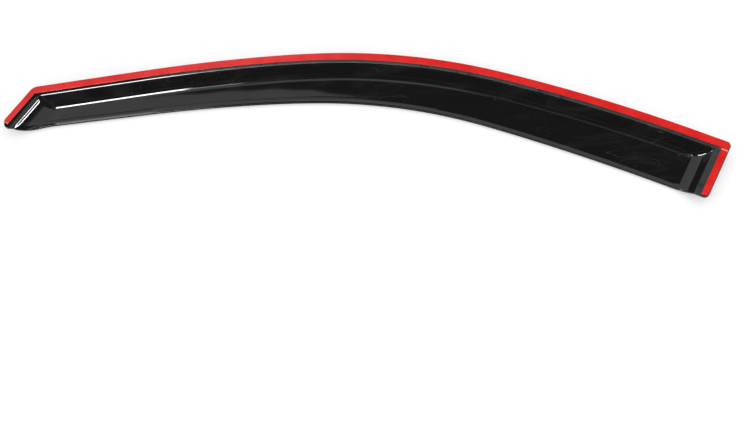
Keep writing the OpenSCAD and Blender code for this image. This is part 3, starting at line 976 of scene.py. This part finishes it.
# A second dark card, which the bare flange of the front mirrors
FLANGE_PLAN = (
    (-0.362, 0.549), (-0.362, 0.60), (-0.47, 0.60), (-0.56, 0.54), (-0.56, 0.47), (-0.487, 0.50),
    (-0.482, 0.53), (-0.46, 0.549),
)
# A small flag that keeps the lamps of the front half out of the rear corner: left, right, low and high edge
FLAG_EDGES = (-0.72, -0.32, -0.90, 0.28)
FLAG_HEIGHT = 3.0
# Grey cards below them, as their left, right, low and high edges over their height, and their brightness
GLOW_CARDS = (
    ("glow_crown", (-0.215, -0.16, -1.3, 0.10), 0.35),
    ("glow_crown_end", (-0.16, -0.08, -1.3, 0.02), 0.2),
    ("glow_front", (0.56, 0.68, -0.42, -0.15), 0.6),
    ("glow_front_middle", (0.68, 0.82, -0.50, -0.25), 0.3),
    ("glow_front_end", (0.82, 1.0, -0.62, -0.35), 0.12),
)
# Upright cards round the part, as the plan of their two ends, their low and high edges over the
# dark cards' height, and their brightness. The two strips hang just before the front wall.
STRIP_GREY = 0.3
UPRIGHT_CARDS = (
    ("wall_front", (-2.2, -1.6), (2.2, -1.6), 0, 1.0, CARD_GREY),
    ("wall_right", (1.6, -1.6), (1.6, 1.6), 0, 1.0, CARD_GREY),
    ("wall_back", (-2.2, 1.6), (2.2, 1.6), 0, 0.42, CARD_GREY),
    ("wall_back_left", (-2.2, 1.59), (-0.9, 1.59), 0, 0.66, CARD_GREY),
    ("strip_middle", (-0.39, -1.575), (0.30, -1.575), 0.58, 0.88, STRIP_GREY),
    ("strip_rear", (-1.09, -1.575), (-0.56, -1.575), 0.58, 0.88, STRIP_GREY),
)
# Lamps overhead that only reflections see, as places and sizes over their height, their turn and brightness
OVERHEAD_LAMPS = (
    ("lamp_lines", (-0.313, -0.08), (0.135, 0.40), 3.2, 40.0),
    ("lamp_lines_end", (-0.2305, 0.0), (0.03, 0.24), 3.2, 5.0),
)
# Lamps near the ground, as the point that they light, their direction from it, sizes and brightness
LOW_LAMPS = (
    ("lamp_front_end", (-0.48, 0.04, 0.01), (0.814, -0.470, 0.342), (0.8, 0.36), 60.0),
    ("lamp_rear_corner", (0.44, -0.05, 0.01), (-0.70, 0.0, 0.714), (1.9, 1.4), 40.0),
)
LOW_LAMP_REACH = 6.0


def flat_sheet(name, corners, material):
    """A flat sheet of any number of corners."""
    mesh = bpy.data.meshes.new(name)
    mesh.from_pydata(corners, [], [tuple(range(len(corners)))])
    mesh.materials.append(material)
    sheet = new_object(name, mesh)
    return sheet


def level_corners(left, right, low, high, height):
    """Corners of a level rectangle at that height."""
    return [(left, low, height), (right, low, height), (right, high, height), (left, high, height)]


def seen_directly(tree):
    """1 for what the camera sees, also in gloss or through glass, and 0 for the light on matt surfaces."""
    path = tree.nodes.new("ShaderNodeLightPath").outputs
    seen = math_node(tree, "MAXIMUM", path["Is Camera Ray"], path["Is Glossy Ray"])
    return math_node(tree, "MAXIMUM", seen, path["Is Transmission Ray"])


def studio_floor(tone):
    """Pale matt floor, with a little light of its own for the camera, so that it meets the white round it."""
    material, tree, shader, _ = new_material("Studio Floor", tone, {"Roughness": 0.9, **GLOWING})
    glow = math_node(tree, "MULTIPLY", seen_directly(tree), FLOOR_GLOW)
    tree.links.new(glow, shader.inputs["Emission Strength"])
    corners = level_corners(-FLOOR_REACH, FLOOR_REACH, -FLOOR_REACH, FLOOR_REACH, 0)
    flat_sheet("studio_floor", corners, material)


def white_world(scene, light):
    """White surroundings for the camera, which light the part at the given strength."""
    world = bpy.data.worlds.new("Studio World")
    scene.world = world
    world.use_nodes = True
    tree = world.node_tree
    background = tree.nodes["Background"]
    strength = add_node(tree, "Mix", {"Factor": seen_directly(tree), "A": light, "B": 1.0})
    tree.links.new(strength.outputs["Result"], background.inputs["Strength"])
    background.inputs["Color"].default_value = (1, 1, 1, 1)


def reflection_card(name, corners, brightness):
    """A card of an even brightness that only reflections see, as a studio holds over glossy things."""
    label = f"Card {brightness:g}"
    material = bpy.data.materials.get(label)
    if not material:
        material, *_ = new_material(label, (0.0, 0.0, 0.0), {"Emission Strength": brightness, **GLOWING})
    card = flat_sheet(name, corners, material)
    card.visible_camera = False
    card.visible_diffuse = False
    card.visible_transmission = False
    card.visible_shadow = False


def hang_cards():
    """All cards: the dark ones overhead, the flag, the upright ones and the grey ones overhead."""
    for name, plan in (("card_above", CARD_PLAN), ("card_flange", FLANGE_PLAN)):
        reflection_card(name, [(x * CARD_HEIGHT, y * CARD_HEIGHT, CARD_HEIGHT) for x, y in plan], CARD_GREY)
    reflection_card("flag_rear", level_corners(*FLAG_EDGES, FLAG_HEIGHT), CARD_GREY)
    for name, start, end, low, high, brightness in UPRIGHT_CARDS:
        corners = [(*start, low), (*end, low), (*end, high), (*start, high)]
        reflection_card(name, CARD_HEIGHT * np.array(corners), brightness)
    for name, edges, brightness in GLOW_CARDS:
        reflection_card(name, GLOW_HEIGHT * np.array(level_corners(*edges, 1)), brightness)


def area_lamp(name, size, power, place, turn):
    """A rectangular lamp of a given power."""
    lamp = bpy.data.lights.new(name, "AREA")
    lamp.shape = "RECTANGLE"
    lamp.size, lamp.size_y = size
    lamp.energy = power
    light = new_object(name, lamp)
    light.location = place
    light.rotation_euler = turn
    return light


def key_lamp(power):
    """The large soft key light, which lights surfaces and isn't mirrored in them."""
    light = area_lamp("Key", KEY_SIZE, power, KEY_PLACE, (0, atan2(KEY_PLACE[0], KEY_PLACE[2]), 0))
    light.visible_glossy = False


def reflection_lamp(name, size, brightness, place, turn):
    """A rectangle of light of a given brightness that only reflections see."""
    light = area_lamp(name, size, brightness * pi * size[0] * size[1], place, turn)
    light.visible_camera = False
    light.visible_diffuse = False


def overhead_lamp(name, place, size, degrees, brightness):
    """A level reflection lamp, with its place and size over its height, turned by some degrees."""
    place = LAMP_HEIGHT * np.array([*place, 1])
    reflection_lamp(name, LAMP_HEIGHT * np.array(size), brightness, place, (0, 0, radians(degrees)))


def low_lamp(name, lit, direction, size, brightness):
    """A reflection lamp near the ground, turned to the point that it lights."""
    place = Vector(lit) + LOW_LAMP_REACH * Vector(direction)
    reflection_lamp(name, size, brightness, place, Vector(direction).to_track_quat("Z", "Y").to_euler())


class DEFLECTOR_OT_camera(Operator):
    """Set the camera at the photograph's viewing angle"""
    bl_idname = "deflector.camera"
    bl_label = "Camera"

    def execute(self, context):
        stage = context.scene.deflector_stage
        data = bpy.data.cameras.new("Photo Camera")
        data.lens = stage.lens
        data.sensor_width = SENSOR_WIDTH
        data.sensor_fit = "HORIZONTAL"
        camera = new_object("Photo Camera", data)
        camera.rotation_euler = (stage.view_tilt, stage.view_side, 0)
        back = camera.rotation_euler.to_matrix().col[2]
        camera.location = [a + stage.view_distance * b for a, b in zip(stage.aim, back)]
        context.scene.camera = camera
        return {"FINISHED"}


class DEFLECTOR_OT_stage(Operator):
    """Set the floor, the white surroundings, the dark cards and the lamps"""
    bl_idname = "deflector.stage"
    bl_label = "Stage"

    def execute(self, context):
        scene = context.scene
        stage = scene.deflector_stage
        studio_floor(stage.floor_colour)
        hang_cards()
        white_world(scene, stage.world_light)
        key_lamp(stage.key_light)
        for lamp in OVERHEAD_LAMPS:
            overhead_lamp(*lamp)
        for lamp in LOW_LAMPS:
            low_lamp(*lamp)
        scene.view_settings.view_transform = "Standard"
        return {"FINISHED"}


STEPS = (
    ("camera", DEFLECTOR_OT_camera),
    ("visor", DEFLECTOR_OT_visor),
    ("top_tape", DEFLECTOR_OT_top_tape),
    ("front_tape", DEFLECTOR_OT_front_tape),
    ("rear_tape", DEFLECTOR_OT_rear_tape),
    ("stage", DEFLECTOR_OT_stage),
)


class DEFLECTOR_PT_panel(Panel):
    """Lists the pieces of the deflector and its stage"""
    bl_label = "Rain Deflector"
    bl_idname = "DEFLECTOR_PT_panel"
    bl_space_type = "VIEW_3D"
    bl_region_type = "UI"
    bl_category = "Deflector"

    def draw(self, context):
        for _, step in STEPS:
            self.layout.operator(step.bl_idname)


SETTINGS = (
    ("deflector_edge", DeflectorEdge),
    ("deflector_ends", DeflectorEnds),
    ("deflector_section", DeflectorSection),
    ("deflector_tape", DeflectorTape),
    ("deflector_stage", DeflectorStage),
)
CLASSES = tuple(kind for _, kind in SETTINGS) + tuple(step for _, step in STEPS) + (DEFLECTOR_PT_panel,)


def register():
    for kind in CLASSES:
        bpy.utils.register_class(kind)
    for name, kind in SETTINGS:
        setattr(bpy.types.Scene, name, PointerProperty(type=kind))


def unregister():
    for name, _ in SETTINGS:
        delattr(bpy.types.Scene, name)
    for kind in reversed(CLASSES):
        bpy.utils.unregister_class(kind)


def main():
    register()
    for name, _ in STEPS:
        getattr(bpy.ops.deflector, name)()


if __name__ == "__main__":
    main()
